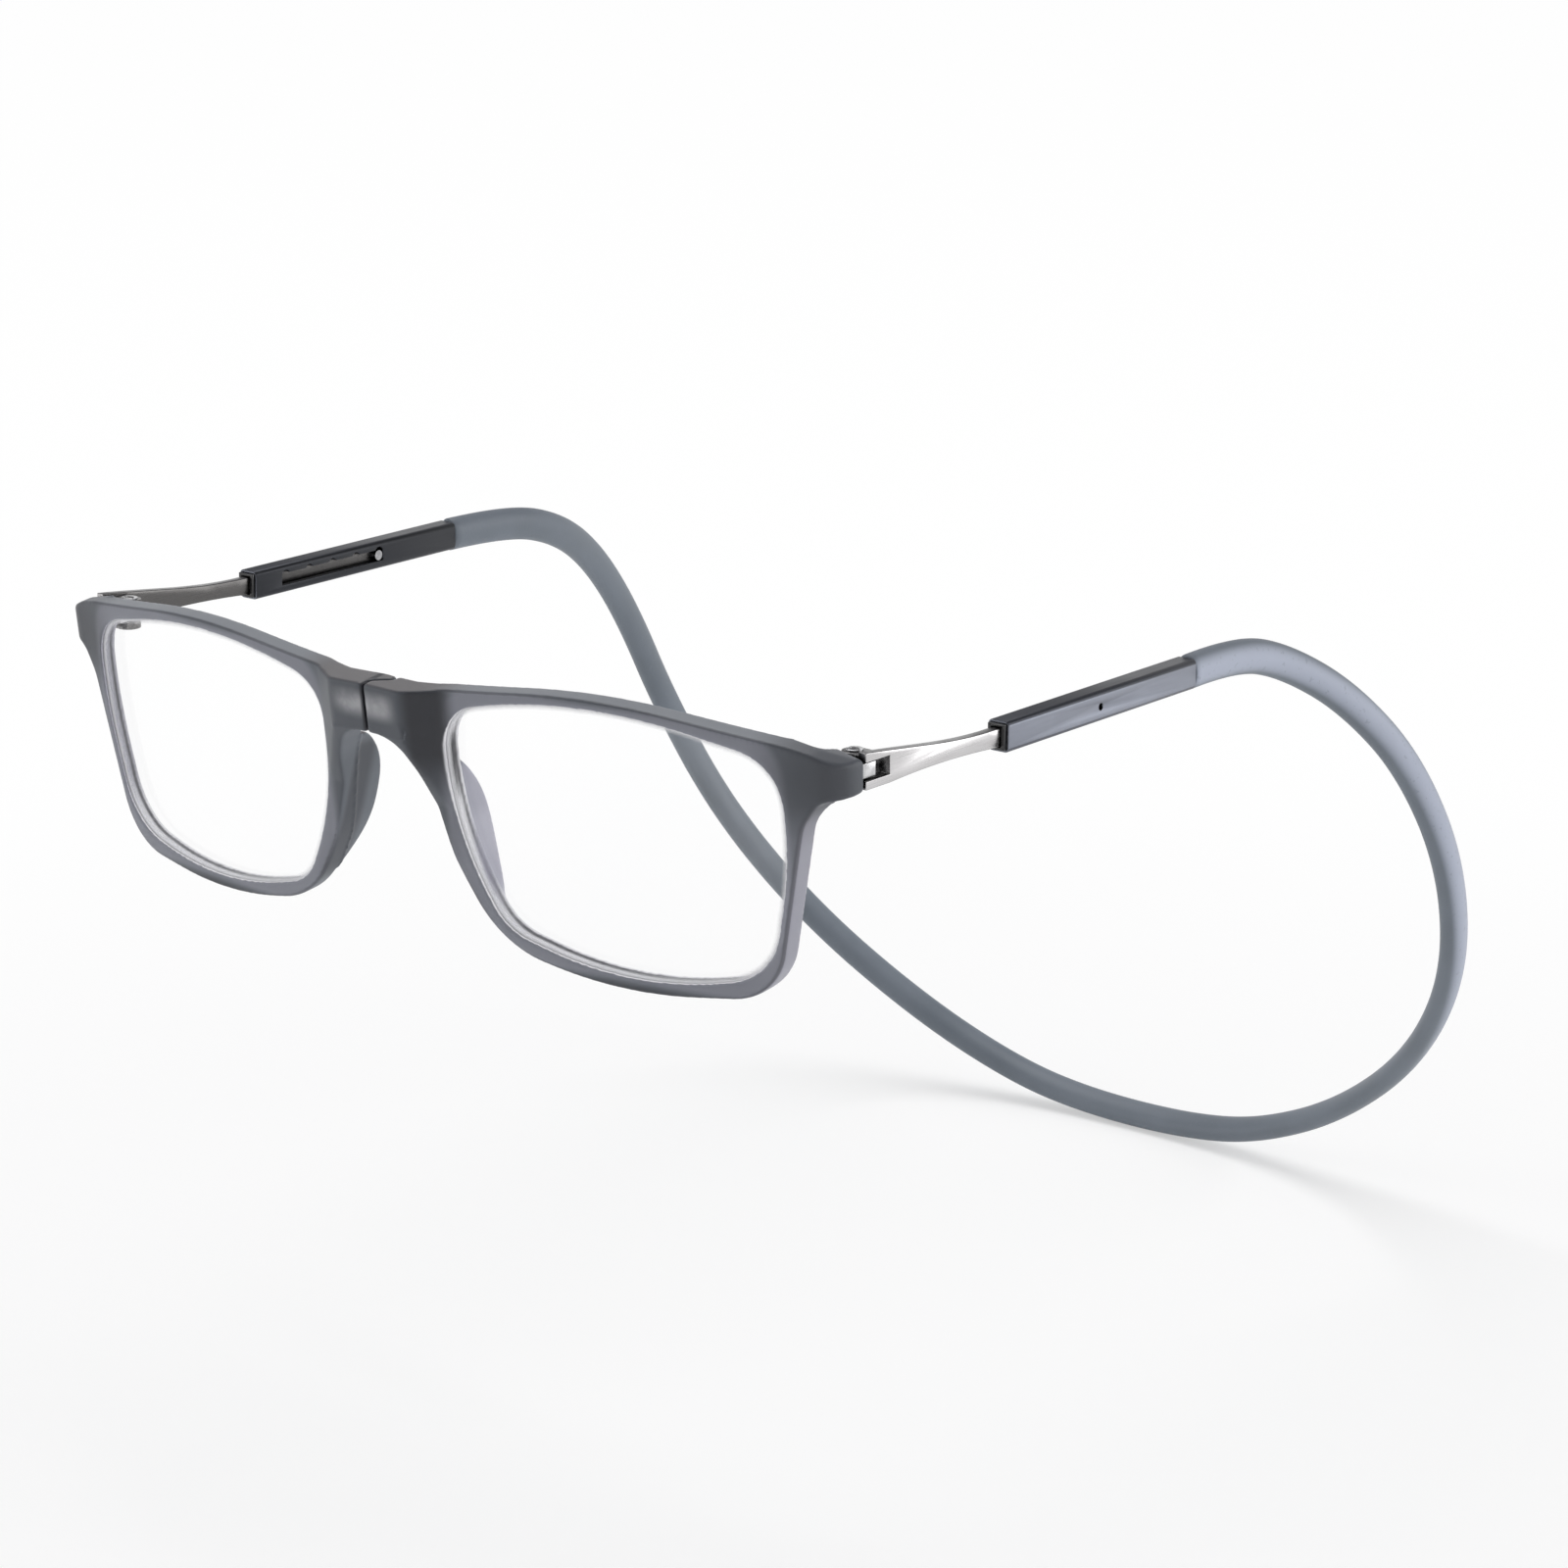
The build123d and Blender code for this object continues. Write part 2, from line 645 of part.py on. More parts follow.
def neck_band():
    """The moulded band behind the head, one piece with a socket at each end."""
    radii = arc_radii(band_points)
    print("band arc radii", [round(radius, 1) for radius in radii])
    path = FilletPolyline(*band_points, radius=radii)
    start_plane = Plane(origin=path @ 0, x_dir=(1, 0, 0), z_dir=path % 0)
    section = start_plane * Ellipse(band_thickness / 2, band_height / 2)
    half = sweep(section, path=path)
    print("band half volume", round(half.volume, 1),
          "section times length", round(section.area * path.length, 1))
    band = half + mirror(half, about=Plane.YZ)
    for side in (LEFT, RIGHT):
        band -= on_side(rod(
            (sleeve_x, sleeve_end_y - overrun, sleeve_z),
            (sleeve_x, sleeve_end_y + plug_in_band + running_gap, sleeve_z),
            plug_radius + plug_barb + glue_gap), side)
    return band


side_makers = {
    "lens": lens, "hinge_leaf": hinge_leaf, "hinge_anchor": anchor,
    "hinge_screw": hinge_screw, "temple_bar": temple_bar, "detent_stud": detent_stud,
    "detent_spring": detent_spring, "sleeve": sleeve, "sleeve_bush": sleeve_bush,
    "band_plug": band_plug}
seam_makers = {"rim": front_rim, "magnet": magnet, "magnet_cap": magnet_cap}

export_step(neck_band(), "parts/neck_band.step")
for side, side_name in side_names.items():
    for piece_name, make in seam_makers.items():
        export_step(make(side), f"parts/{side_name}_{piece_name}.step")
    for piece_name, make in side_makers.items():
        export_step(on_side(make(), side), f"parts/{side_name}_{piece_name}.step")
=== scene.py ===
"""Reading glasses that part at the nose bridge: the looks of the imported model.

Metres, worn pose: +Z up, the wearer looks along -Y and the wearer's left is +X.
"""
import json
from math import cos, pi, radians, sin

import bmesh
import bpy
from mathutils import Matrix, Vector

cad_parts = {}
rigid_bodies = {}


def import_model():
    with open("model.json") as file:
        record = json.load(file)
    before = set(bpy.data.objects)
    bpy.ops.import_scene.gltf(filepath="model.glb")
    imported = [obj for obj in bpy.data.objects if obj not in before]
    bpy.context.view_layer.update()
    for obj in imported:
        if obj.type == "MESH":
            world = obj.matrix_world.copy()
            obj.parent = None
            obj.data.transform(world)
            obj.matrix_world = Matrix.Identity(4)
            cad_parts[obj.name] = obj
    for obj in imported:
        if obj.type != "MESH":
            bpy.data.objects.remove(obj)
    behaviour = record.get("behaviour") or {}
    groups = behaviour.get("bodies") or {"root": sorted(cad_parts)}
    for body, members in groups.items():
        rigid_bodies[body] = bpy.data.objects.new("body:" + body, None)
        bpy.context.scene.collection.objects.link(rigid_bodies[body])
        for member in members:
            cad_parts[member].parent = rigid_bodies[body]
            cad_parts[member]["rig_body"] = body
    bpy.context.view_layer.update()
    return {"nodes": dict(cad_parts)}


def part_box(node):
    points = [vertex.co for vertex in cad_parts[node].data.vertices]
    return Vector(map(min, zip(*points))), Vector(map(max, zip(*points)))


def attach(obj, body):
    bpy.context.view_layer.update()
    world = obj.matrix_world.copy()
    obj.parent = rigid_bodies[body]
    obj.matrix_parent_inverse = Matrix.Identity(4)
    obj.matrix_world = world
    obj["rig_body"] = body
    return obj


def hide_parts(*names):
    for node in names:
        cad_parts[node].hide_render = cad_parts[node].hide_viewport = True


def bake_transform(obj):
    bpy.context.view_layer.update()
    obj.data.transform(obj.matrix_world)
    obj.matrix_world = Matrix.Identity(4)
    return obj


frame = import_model()
nodes = frame["nodes"]
mm = 0.001
sides = {"left": 1, "right": -1}


# Studio: a camera at the photograph's place, a white floor just under the
# band's lowest point, one broad lamp overhead and two soft ones beside it.
scene = bpy.context.scene
scene.view_settings.view_transform = "Standard"

camera = bpy.data.objects.new("camera", bpy.data.cameras.new("camera"))
camera.data.lens = 112.61
camera.data.sensor_width = 36
camera.data.clip_start, camera.data.clip_end = 0.01, 50
camera.location = Vector((431.95, -452.50, 177.90)) * mm
camera_azimuth, camera_elevation = radians(38.913), radians(15.538)
camera_back = Vector((
    sin(camera_azimuth) * cos(camera_elevation),
    -cos(camera_azimuth) * cos(camera_elevation), sin(camera_elevation)))
camera.rotation_euler = camera_back.to_track_quat("Z", "Y").to_euler()
scene.collection.objects.link(camera)
scene.camera = camera

floor_gap, floor_radius = 0.2 * mm, 6
floor_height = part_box("neck_band")[0].z - floor_gap
floor_shape = bmesh.new()
bmesh.ops.create_circle(floor_shape, cap_ends=True, segments=96, radius=floor_radius)
bmesh.ops.translate(floor_shape, vec=(0, 0, floor_height), verts=floor_shape.verts)
floor_mesh = bpy.data.meshes.new("floor")
floor_shape.to_mesh(floor_mesh)
floor_shape.free()
floor = bpy.data.objects.new("floor", floor_mesh)
scene.collection.objects.link(floor)


def fill(socket, value):
    """Sets a socket, and gives a colour its full alpha."""
    socket.default_value = (*value, 1) if socket.type == "RGBA" else value


def new_material(name, **values):
    """A material whose shader has these plain values, with its tree."""
    material = bpy.data.materials.new(name)
    material.use_nodes = True
    shader = material.node_tree.nodes["Principled BSDF"]
    for socket, value in values.items():
        fill(shader.inputs[socket.replace("_", " ")], value)
    return material, material.node_tree, shader


def add_node(tree, kind, inputs=(), **settings):
    """The outputs of a new shader node, its inputs linked or set by place or name."""
    node = tree.nodes.new("ShaderNode" + kind)
    for setting, value in settings.items():
        setattr(node, setting, value)
    places = inputs.items() if isinstance(inputs, dict) else enumerate(inputs)
    for place, value in places:
        if isinstance(value, bpy.types.NodeSocket):
            tree.links.new(value, node.inputs[place])
        else:
            fill(node.inputs[place], value)
    return node.outputs


def parts(tree, kind):
    """The three parts of a point's place on its piece ("Object") or facing ("Normal")."""
    return add_node(tree, "SeparateXYZ", (add_node(tree, "TexCoord")[kind],))


def distance(tree, place, other):
    """How far one place is from the other."""
    return add_node(tree, "VectorMath", (place, other), operation="DISTANCE")["Value"]


def maths(tree, operation, *values):
    """The result of one sum."""
    return add_node(tree, "Math", values, operation=operation)[0]


def product(tree, first, *others):
    """The product of values, which for masks is where all of them are."""
    for other in others:
        first = maths(tree, "MULTIPLY", first, other)
    return first


def fade(tree, value, start, end, most=1.0):
    """A mask that rises smoothly from nothing at start to its most at end."""
    return add_node(
        tree, "MapRange", (value, start, end, 0.0, most), interpolation_type="SMOOTHSTEP")[0]


def tint(tree, mask, colour, other):
    """The first colour, or the other one where the mask is."""
    return add_node(tree, "Mix", {0: mask, 6: colour, 7: other}, data_type="RGBA")[2]


def mix_shaders(tree, mask, look, other):
    """The first shader, or the other one where the mask is."""
    return add_node(tree, "MixShader", (mask, look, other))[0]


def seen_rays(tree):
    """One for rays from the camera and for those that gloss or glass sends on."""
    path = add_node(tree, "LightPath")
    glossy_or_camera = maths(tree, "MAXIMUM", path["Is Camera Ray"], path["Is Glossy Ray"])
    return maths(tree, "MAXIMUM", glossy_or_camera, path["Is Transmission Ray"])


middle = Vector((0, 70, 0)) * mm
floor_white, near_share, far_share, shadow_reach = 0.96, 0.46, 0.52, (0.1, 0.36)
floor_paint, tree, shader = new_material(
    "floor_paint", Base_Color=(floor_white,) * 3, Roughness=1.0, Specular_IOR_Level=0.0)
from_middle = distance(
    tree, add_node(tree, "TexCoord")["Object"], (middle.x, middle.y, floor_height))
far_white = maths(tree, "ADD", fade(tree, from_middle, *shadow_reach, far_share), near_share)
white = add_node(tree, "Emission", ((1, 1, 1), 1.0))[0]
floor_look = mix_shaders(tree, product(tree, far_white, seen_rays(tree)), shader.outputs[0], white)
tree.links.new(floor_look, tree.nodes["Material Output"].inputs["Surface"])
floor.data.materials.append(floor_paint)

room_grey, ceiling_grey, ceiling_edge = (0.4, 0.4, 0.405), (0.16, 0.16, 0.17), (0.12, 0.6)
world = bpy.data.worlds.new("studio_world")
world.use_nodes = True
scene.world = world
tree = world.node_tree
ceiling = product(
    tree, fade(tree, parts(tree, "Object")[2], *ceiling_edge),
    add_node(tree, "LightPath")["Is Glossy Ray"])
room = add_node(tree, "Background", (room_grey, 1.0))[0]
seen_room = add_node(tree, "Background", (tint(tree, ceiling, (1, 1, 1), ceiling_grey), 1.0))[0]
world_look = mix_shaders(tree, seen_rays(tree), room, seen_room)
tree.links.new(world_look, tree.nodes["World Output"].inputs["Surface"])

lamp_aim = middle + Vector((0, 0, -20)) * mm
for name, place, size, power in (
        ("lamp_above", (-0.35, 0.25, 1.3), 1.0, 10.0),
        ("lamp_front_left", (-1.1, -0.9, 0.5), 0.8, 3.4),
        ("lamp_right", (1.15, 0.8, 0.3), 1.1, 9.0)):
    lamp = bpy.data.objects.new(name, bpy.data.lights.new(name, "AREA"))
    lamp.data.shape = "SQUARE"
    lamp.data.size = size
    lamp.data.energy = power
    lamp.location = place
    lamp.rotation_euler = (Vector(place) - lamp_aim).to_track_quat("Z", "Y").to_euler()
    scene.collection.objects.link(lamp)


# Front halves: each is one moulding of matt translucent grey plastic with its
# half of the bridge, its endpiece and its nose pad, all edges softly rounded.
# Painted light and painted shade stand in for the light that thin walls let
# through, and for the magnets and hinge anchors that show faintly.
edge_radius, sharp_corner = 0.42 * mm, radians(30)
skin_grain, skin_passes, skin_easing = 0.2 * mm, 10, 0.5
opening_x, opening_z, opening_edge = 36.1 * mm, 2.3 * mm, 10.9 * mm
half_opening_width, half_opening_height, opening_squareness = 25.7 * mm, 18.7 * mm, 7
magnet_reach, magnet_low, magnet_high = 5.6 * mm, 15.1 * mm, 17.7 * mm
anchor_place = Vector((66.4, 8.6, 15.3)) * mm
# Besides the plastic's own greys, these hold the colours of painted light and painted shade, and
# the dark line of the parting seam.
front_grey, light_grey = (0.118, 0.132, 0.152), (0.158, 0.172, 0.197)
shade_and_seam_grey, edge_shade_grey, highlight_grey = (0.026, 0.027, 0.034), (0.06, 0.063, 0.075), (0.25, 0.262, 0.285)
wall_grey, lit_wall_grey, lit_side_grey = (0.41, 0.41, 0.465), (0.86, 0.86, 0.89), (0.33, 0.33, 0.38)
lit_pad_grey, painted_glow_grey = (0.40, 0.40, 0.48), (0.40, 0.40, 0.46)
top_brown, magnet_glow_grey = (0.13, 0.12, 0.12), (0.42, 0.42, 0.44)


def rounded_copy(node, radius, segments=2, flat_angle=0.6):
    """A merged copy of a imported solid, bevelled, which stands for it and rides as it does."""
    shape = bmesh.new()
    shape.from_mesh(nodes[node].data)
    bmesh.ops.remove_doubles(shape, verts=shape.verts, dist=0.001 * mm)
    bmesh.ops.dissolve_limit(
        shape, angle_limit=radians(flat_angle), use_dissolve_boundaries=False,
        verts=shape.verts, edges=shape.edges)
    for face in shape.faces:
        face.smooth = True
    mesh = bpy.data.meshes.new(node + "_piece")
    shape.to_mesh(mesh)
    shape.free()
    piece = bpy.data.objects.new(node + "_piece", mesh)
    scene.collection.objects.link(piece)
    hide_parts(node)
    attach(piece, nodes[node]["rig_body"])
    rounding = piece.modifiers.new("rounded_edges", "BEVEL")
    rounding.width = radius
    rounding.segments = segments
    rounding.limit_method = "ANGLE"
    rounding.angle_limit = sharp_corner
    rounding.use_clamp_overlap = False
    rounding.harden_normals = True
    return piece


def new_group(name, numbers, results):
    """A node group with these numbers as inputs and these masks as outputs."""
    group = bpy.data.node_groups.new(name, "ShaderNodeTree")
    for number, value in numbers.items():
        socket = group.interface.new_socket(number, in_out="INPUT", socket_type="NodeSocketFloat")
        socket.default_value = value
    for result in results:
        group.interface.new_socket(result, in_out="OUTPUT", socket_type="NodeSocketFloat")
    group_end = group.nodes.new("NodeGroupOutput")
    return group, group.nodes.new("NodeGroupInput").outputs, group_end.inputs


def place_group(tree, group, **numbers):
    """The outputs of a group placed in a material with these numbers."""
    return add_node(tree, "Group", numbers, node_tree=group)


def noise(tree, place, scale, detail):
    """A cloudy pattern of this scale."""
    return add_node(tree, "TexNoise", {"Vector": place, "Scale": scale, "Detail": detail})[0]


def open_air(tree, reach, samples):
    """One in the open, and less where other walls stand within reach."""
    return add_node(tree, "AmbientOcclusion", {"Distance": reach}, samples=samples)["AO"]


surface_grain, given, result = new_group(
    "surface_grain", {"Grain": 3000.0, "Cloud": 90.0}, ("Height", "Cloud"))
grain_place = add_node(surface_grain, "TexCoord")["Object"]
surface_grain.links.new(noise(surface_grain, grain_place, given["Grain"], 3.0), result["Height"])
broad_noise = noise(surface_grain, grain_place, given["Cloud"], 4.0)
surface_grain.links.new(fade(surface_grain, broad_noise, 0.35, 0.65), result["Cloud"])

# An edge mask in worn patches, which the materials use for edge wear and for painted highlights
# and painted shade along edges.
edge_wear_and_painted_light, given, result = new_group("edge_wear_and_painted_light", {"Width": 0.5 * mm, "Patch": 500.0}, ("Edge",))
rounded = add_node(edge_wear_and_painted_light, "Bevel", (given["Width"],), samples=4)[0]
true_facing = add_node(edge_wear_and_painted_light, "NewGeometry")["Normal"]
alike = add_node(edge_wear_and_painted_light, "VectorMath", (rounded, true_facing), operation="DOT_PRODUCT")["Value"]
edge_band = fade(edge_wear_and_painted_light, maths(edge_wear_and_painted_light, "SUBTRACT", 1.0, alike), 0.01, 0.16)
patches = noise(edge_wear_and_painted_light, add_node(edge_wear_and_painted_light, "TexCoord")["Object"], given["Patch"], 3.0)
edge_wear_and_painted_light.links.new(
    product(edge_wear_and_painted_light, edge_band, fade(edge_wear_and_painted_light, patches, 0.25, 0.6)), result["Edge"])


def layers(tree, colour, *coats):
    """A colour with other colours laid over it, each where its mask is."""
    for mask, coat in coats:
        colour = tint(tree, mask, colour, coat)
    return colour


def dress(tree, shader, colour, wear, roughness, height, relief):
    """Feeds a shader its colour, a roughness that varies with the wear, and a fine relief."""
    least, spread = roughness
    depth, strength = relief
    tree.links.new(colour, shader.inputs["Base Color"])
    tree.links.new(maths(tree, "MULTIPLY_ADD", wear, spread, least), shader.inputs["Roughness"])
    bump = add_node(tree, "Bump", {"Strength": strength, "Distance": depth, "Height": height})[0]
    tree.links.new(bump, shader.inputs["Normal"])


front_plastic, tree, shader = new_material(
    "front_plastic", Specular_IOR_Level=0.4, Subsurface_Weight=0.3,
    Subsurface_Radius=(1.0, 1.0, 1.05), Subsurface_Scale=0.9 * mm)
grain = place_group(tree, surface_grain, Grain=3600.0, Cloud=70.0)
blotches = place_group(tree, surface_grain, Grain=3600.0, Cloud=230.0)["Cloud"]
edge = place_group(tree, edge_wear_and_painted_light, Width=0.55 * mm, Patch=300.0)["Edge"]
x, y, z = parts(tree, "Object")
facing_x, facing_y, facing_z = parts(tree, "Normal")
across = maths(tree, "ABSOLUTE", x)
outward = product(tree, facing_x, maths(tree, "SIGN", x))
forward = fade(tree, facing_y, -0.3, -0.8)

# The walls of the lens opening are painted pale with painted light, most of all
# at the nose and below.
beside = maths(tree, "SUBTRACT", across, opening_x)
above = maths(tree, "SUBTRACT", z, opening_z)
towards_opening = maths(
    tree, "ADD", product(tree, beside, outward), product(tree, above, facing_z))
opening_wall = product(
    tree, fade(tree, towards_opening, -3 * mm, -10 * mm, 0.92),
    fade(tree, facing_y, -0.85, -0.5), fade(tree, facing_y, 0.85, 0.4),
    fade(tree, across, opening_edge - 0.6 * mm, opening_edge + 0.2 * mm))
wall_colour = tint(
    tree, maths(tree, "MAXIMUM", fade(tree, facing_z, 0.1, 0.8), fade(tree, outward, 0.1, 0.6)),
    wall_grey, lit_wall_grey)

# Painted light makes the rim lighter where it thins towards the opening, at its
# outer side and on its top faces; painted shade runs in fine dark lines along its
# lower edge and its corners, and darkens the hollows where walls meet.
shares = [
    maths(tree, "POWER", maths(tree, "ABSOLUTE", maths(tree, "DIVIDE", offset, half)),
          opening_squareness)
    for offset, half in ((beside, half_opening_width), (above, half_opening_height))]
from_opening = maths(tree, "POWER", maths(tree, "ADD", *shares), 1 / opening_squareness)
edge_glow = product(tree, fade(tree, from_opening, 1.03, 0.975, 0.4), forward)
side_glow = product(
    tree, fade(tree, across, 53 * mm, 61 * mm, 0.25), fade(tree, z, 12 * mm, 6 * mm))
lit_outer_side = product(
    tree, fade(tree, outward, 0.3, 0.8), fade(tree, z, 12 * mm, 8 * mm),
    fade(tree, across, 48 * mm, 56 * mm))
side_shade_line = product(
    tree, fade(tree, product(tree, facing_y, outward), -0.2, -0.42, 0.6),
    fade(tree, across, 48 * mm, 54 * mm))
lower_edge_shade = product(
    tree, fade(tree, from_opening, 1.0, 1.065, 0.9), forward,
    fade(tree, z, -6 * mm, -13 * mm))
edge_facing = product(
    tree, facing_y, facing_z, maths(tree, "SIGN", maths(tree, "SUBTRACT", opening_z, z)))
front_edge_shade = fade(tree, edge_facing, 0.2, 0.44, 0.6)
lit_top_face = product(tree, fade(tree, facing_z, 0.8, 0.97), fade(tree, z, 10 * mm, 14 * mm, 0.7))
corner_shade = fade(tree, open_air(tree, 6 * mm, samples=6), 0.9, 0.5, 0.8)

# The pads get painted light on their outer skin and painted shade where they
# leave the rim.
near_nose = fade(tree, across, 17 * mm, 14 * mm)
on_pad = product(
    tree, fade(tree, y, 2.2 * mm, 3.4 * mm), near_nose, fade(tree, z, 9 * mm, 7 * mm))
lit_pad_skin = product(tree, on_pad, fade(tree, outward, -0.1, 0.4, 0.9))
pad_root_shade = product(
    tree, fade(tree, y, 0.5 * mm, 1.8 * mm), fade(tree, y, 6 * mm, 4 * mm),
    fade(tree, z, 10 * mm, 8 * mm), near_nose, fade(tree, outward, 0.2, -0.3, 0.6))

# The bridge has painted shade that makes it darker than the rims, and a deep
# painted shade on the left half's ramp. A painted glow lies where the magnets show
# through it, and painted shade from the anchors, which show through, darkens the
# endpieces.
bridge_shade = product(tree, fade(tree, across, 14 * mm, 7 * mm, 0.4), forward)
bridge_top = product(
    tree, fade(tree, facing_z, 0.45, 0.8), fade(tree, across, 16 * mm, 8 * mm, 0.8))
ramp_shade = product(
    tree, fade(tree, x, 5.6 * mm, 7.6 * mm), fade(tree, x, 14 * mm, 10.5 * mm),
    fade(tree, z, 4 * mm, 11 * mm, 0.95), forward)
parting = fade(tree, across, 0.62 * mm, 0.25 * mm, 0.9)
painted_magnet_glow = product(
    tree, fade(tree, z, magnet_low - 1.2 * mm, magnet_low + 1.3 * mm),
    fade(tree, z, magnet_high + 1.2 * mm, magnet_high - 1.3 * mm), forward,
    fade(tree, across, magnet_reach + 0.6 * mm, magnet_reach - 2.4 * mm),
    maths(tree, "MULTIPLY_ADD", blotches, 0.6, 0.45))
mirrored_place = add_node(tree, "CombineXYZ", (across, y, z))[0]
anchor_shade = fade(tree, distance(tree, mirrored_place, anchor_place), 12 * mm, 2 * mm, 0.62)

# The layers lay painted light and painted shade over the plastic's grey, with painted highlights
# along the edges and painted shade along the pads' edges.
colour = layers(
    tree, tint(tree, product(tree, grain["Cloud"], 0.5), front_grey, light_grey),
    (fade(tree, z, 4 * mm, -14 * mm, 0.2), light_grey), (side_glow, painted_glow_grey),
    (edge_glow, painted_glow_grey), (bridge_shade, shade_and_seam_grey), (lower_edge_shade, shade_and_seam_grey),
    (lit_outer_side, lit_side_grey), (lit_top_face, highlight_grey), (bridge_top, top_brown),
    (painted_magnet_glow, magnet_glow_grey), (ramp_shade, shade_and_seam_grey), (anchor_shade, shade_and_seam_grey),
    (corner_shade, shade_and_seam_grey), (opening_wall, wall_colour), (parting, shade_and_seam_grey),
    (pad_root_shade, shade_and_seam_grey), (lit_pad_skin, lit_pad_grey), (product(tree, edge, 0.25), highlight_grey),
    (product(tree, edge, on_pad, 0.7), edge_shade_grey), (front_edge_shade, edge_shade_grey),
    (side_shade_line, edge_shade_grey))
dress(tree, shader, colour, grain["Cloud"], (0.42, 0.08), grain["Height"], (0.03 * mm, 0.35))

for side in sides:
    rim = rounded_copy(side + "_rim", edge_radius, segments=3, flat_angle=0.02)
    skin = rim.modifiers.new("even_skin", "REMESH")
    skin.mode = "VOXEL"
    skin.voxel_size = skin_grain
    skin.use_smooth_shade = True
    easing = rim.modifiers.new("eased_skin", "SMOOTH")
    easing.factor = skin_easing
    easing.iterations = skin_passes
    rim.data.materials.append(front_plastic)


# Lenses: clear coated reading lenses, ground at the edge and held in grooves.
# Hardly anything shows but a faint gloss, some smudges and the whitish edge,
# and painted light covers the shade where the lens meets the rim.
ground_white, painted_rim_white = (0.86, 0.87, 0.9), (0.86, 0.86, 0.88)
lens_glass, tree, shader = new_material(
    "lens_glass", Base_Color=(1, 1, 1), IOR=1.04, Transmission_Weight=1.0, Coat_IOR=1.45,
    Coat_Roughness=0.02)
ground_edge = fade(tree, maths(tree, "ABSOLUTE", parts(tree, "Normal")[1]), 0.75, 0.45)
painted_rim_light = fade(tree, open_air(tree, 0.9 * mm, samples=8), 0.98, 0.8)
smudge = place_group(tree, surface_grain, Grain=900.0, Cloud=45.0)["Cloud"]
lens_tint = tint(tree, product(tree, smudge, 0.3), (1, 1, 1), (0.985, 0.99, 0.995))
tree.links.new(tint(tree, ground_edge, lens_tint, ground_white), shader.inputs["Base Color"])
tree.links.new(
    maths(tree, "MAXIMUM", product(tree, ground_edge, 0.5), product(tree, smudge, 0.015)),
    shader.inputs["Roughness"])
tree.links.new(maths(tree, "MULTIPLY_ADD", smudge, -0.1, 0.75), shader.inputs["Coat Weight"])
path = add_node(tree, "LightPath")
passed_rays = maths(tree, "MAXIMUM", path["Is Shadow Ray"], path["Is Diffuse Ray"])
lens_look = mix_shaders(
    tree, maths(tree, "MAXIMUM", product(tree, ground_edge, 0.8), passed_rays),
    shader.outputs[0], add_node(tree, "BsdfTransparent")[0])
# Painted light: for camera rays, a white diffuse look where the lens meets the rim.
lens_look = mix_shaders(
    tree, product(tree, painted_rim_light, path["Is Camera Ray"]), lens_look,
    add_node(tree, "BsdfDiffuse", (painted_rim_white,))[0])
tree.links.new(lens_look, tree.nodes["Material Output"].inputs["Surface"])


def refinish(node, material):
    """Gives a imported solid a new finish."""
    nodes[node].data.materials.clear()
    nodes[node].data.materials.append(material)


for side in sides:
    refinish(side + "_lens", lens_glass)


# Magnets and their caps: a plated disc pressed into each half of the bridge,
# covered by a thin cap of the front's own grey plastic at the parting faces.
def grained(name, shades, edge_shade, grain, edge, roughness, relief, edge_share=1.0, **values):
    """A material of two drifting shades, with a third one along its edges.

    The grain has a fine and a broad scale, the edge a width in mm and a scale, and
    the relief a depth in mm and a strength.
    """
    material, tree, shader = new_material(name, **values)
    skin = place_group(tree, surface_grain, Grain=grain[0], Cloud=grain[1])
    edge_mask = place_group(tree, edge_wear_and_painted_light, Width=edge[0] * mm, Patch=edge[1])["Edge"]
    colour = layers(
        tree, tint(tree, skin["Cloud"], *shades),
        (product(tree, edge_mask, edge_share), edge_shade))
    depth, strength = relief
    dress(tree, shader, colour, skin["Cloud"], roughness, skin["Height"], (depth * mm, strength))
    return material


magnet_nickel = grained(
    "magnet_nickel", ((0.55, 0.53, 0.50), (0.63, 0.61, 0.58)), (0.36, 0.34, 0.32),
    grain=(5000.0, 600.0), edge=(0.2, 1500.0), roughness=(0.2, 0.12), relief=(0.01, 0.3),
    Metallic=1.0)
cap_plastic = grained(
    "cap_plastic", ((0.105, 0.108, 0.128), (0.14, 0.144, 0.168)), highlight_grey,
    grain=(4200.0, 400.0), edge=(0.25, 900.0), roughness=(0.36, 0.1), relief=(0.02, 0.3))
for side in sides:
    refinish(side + "_magnet", magnet_nickel)
    refinish(side + "_magnet_cap", cap_plastic)


# Temple bars: pressed spring steel, brushed along their length, bright outside,
# with painted shade on the side towards the head and on the turned edges, forked
# at the hinge with a window painted dark as shade.
def add_piece(node, radius, material):
    """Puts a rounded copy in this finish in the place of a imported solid."""
    piece = rounded_copy(node, radius)
    piece.data.materials.append(material)


# Masks for painted shade on the arms: the side that faces the head, and recesses that light hardly
# reaches.
arm_shading, given, result = new_group(
    "arm_shading", {"Recess": 2.5 * mm}, ("Inner Side", "Recess"))
arm_outward = product(
    arm_shading, parts(arm_shading, "Normal")[0],
    maths(arm_shading, "SIGN", parts(arm_shading, "Object")[0]))
arm_shading.links.new(fade(arm_shading, arm_outward, -0.25, -0.8), result["Inner Side"])
arm_shading.links.new(
    fade(arm_shading, open_air(arm_shading, given["Recess"], samples=4), 0.8, 0.42),
    result["Recess"])


def brush(tree, spread=(5200, 120, 5200)):
    """Fine scratches that run along the arms."""
    long_way = add_node(tree, "Mapping", {
        "Vector": add_node(tree, "TexCoord")["Object"], "Scale": spread})[0]
    return noise(tree, long_way, 1.0, 4.0)


